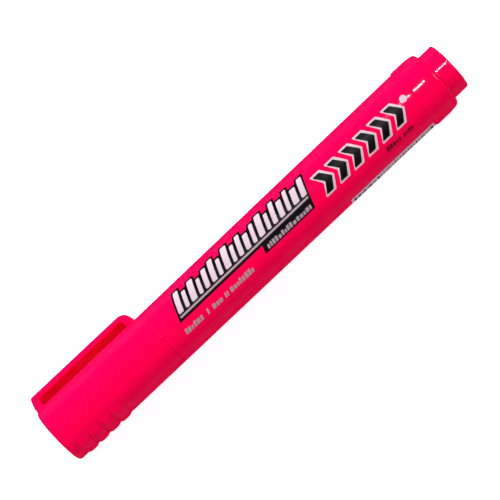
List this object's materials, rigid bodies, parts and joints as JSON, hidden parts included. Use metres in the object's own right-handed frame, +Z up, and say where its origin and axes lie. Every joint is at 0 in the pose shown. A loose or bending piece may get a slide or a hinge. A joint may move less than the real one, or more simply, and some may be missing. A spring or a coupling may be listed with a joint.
{
  "type": "capped highlighter pen",
  "caption": "Capped chisel-tip highlighter pen: round barrel, pull-off cap with pocket clip and grip ribs, inner sealing cap, felt nib, fibre ink reservoir and stepped rear plug.",
  "frame": {"origin": "on the desk, under the middle of the box of the pen lying capped and rolled onto its clip", "axes": "+X along the pen from the cap's closed end to the rear plug, +Y to the side that the clip is on, +Z up from the desk"},
  "size_m": [0.134, 0.0204, 0.0173],
  "materials": {
    "cap_plastic": "fluorescent pink polypropylene",
    "barrel_plastic": "fluorescent pink polypropylene with printed graphics",
    "plug_plastic": "fluorescent pink polypropylene",
    "seal_plastic": "natural low-density polyethylene",
    "holder_plastic": "white polypropylene",
    "nib_felt": "bonded polyester felt, soaked with ink",
    "inked_fibre": "fibre bundle, soaked with ink",
    "clear_film": "clear polypropylene film"
  },
  "bodies": {
    "barrel": {"barrel": "barrel_plastic", "nib_holder": "holder_plastic", "nib": "nib_felt", "ink_reservoir": "inked_fibre", "reservoir_film": "clear_film", "rear_plug": "plug_plastic"},
    "cap": {"cap_shell": "cap_plastic", "inner_cap": "seal_plastic"},
    "clip": {"pocket_clip": "cap_plastic"}
  },
  "joints": [
    {"name": "cap_pull", "type": "slide", "parent": "barrel", "child": "cap", "axis": [-1, 0, 0], "range_m": [0, 0.045]},
    {"name": "clip_flex", "type": "hinge", "parent": "cap", "child": "clip", "pos_m": [-0.0644, 0.0092, 0.00315], "axis": [0, 0.455, 0.8905], "range_deg": [0, 6], "stiffness_Nm_per_rad": 0.6}
  ]
}
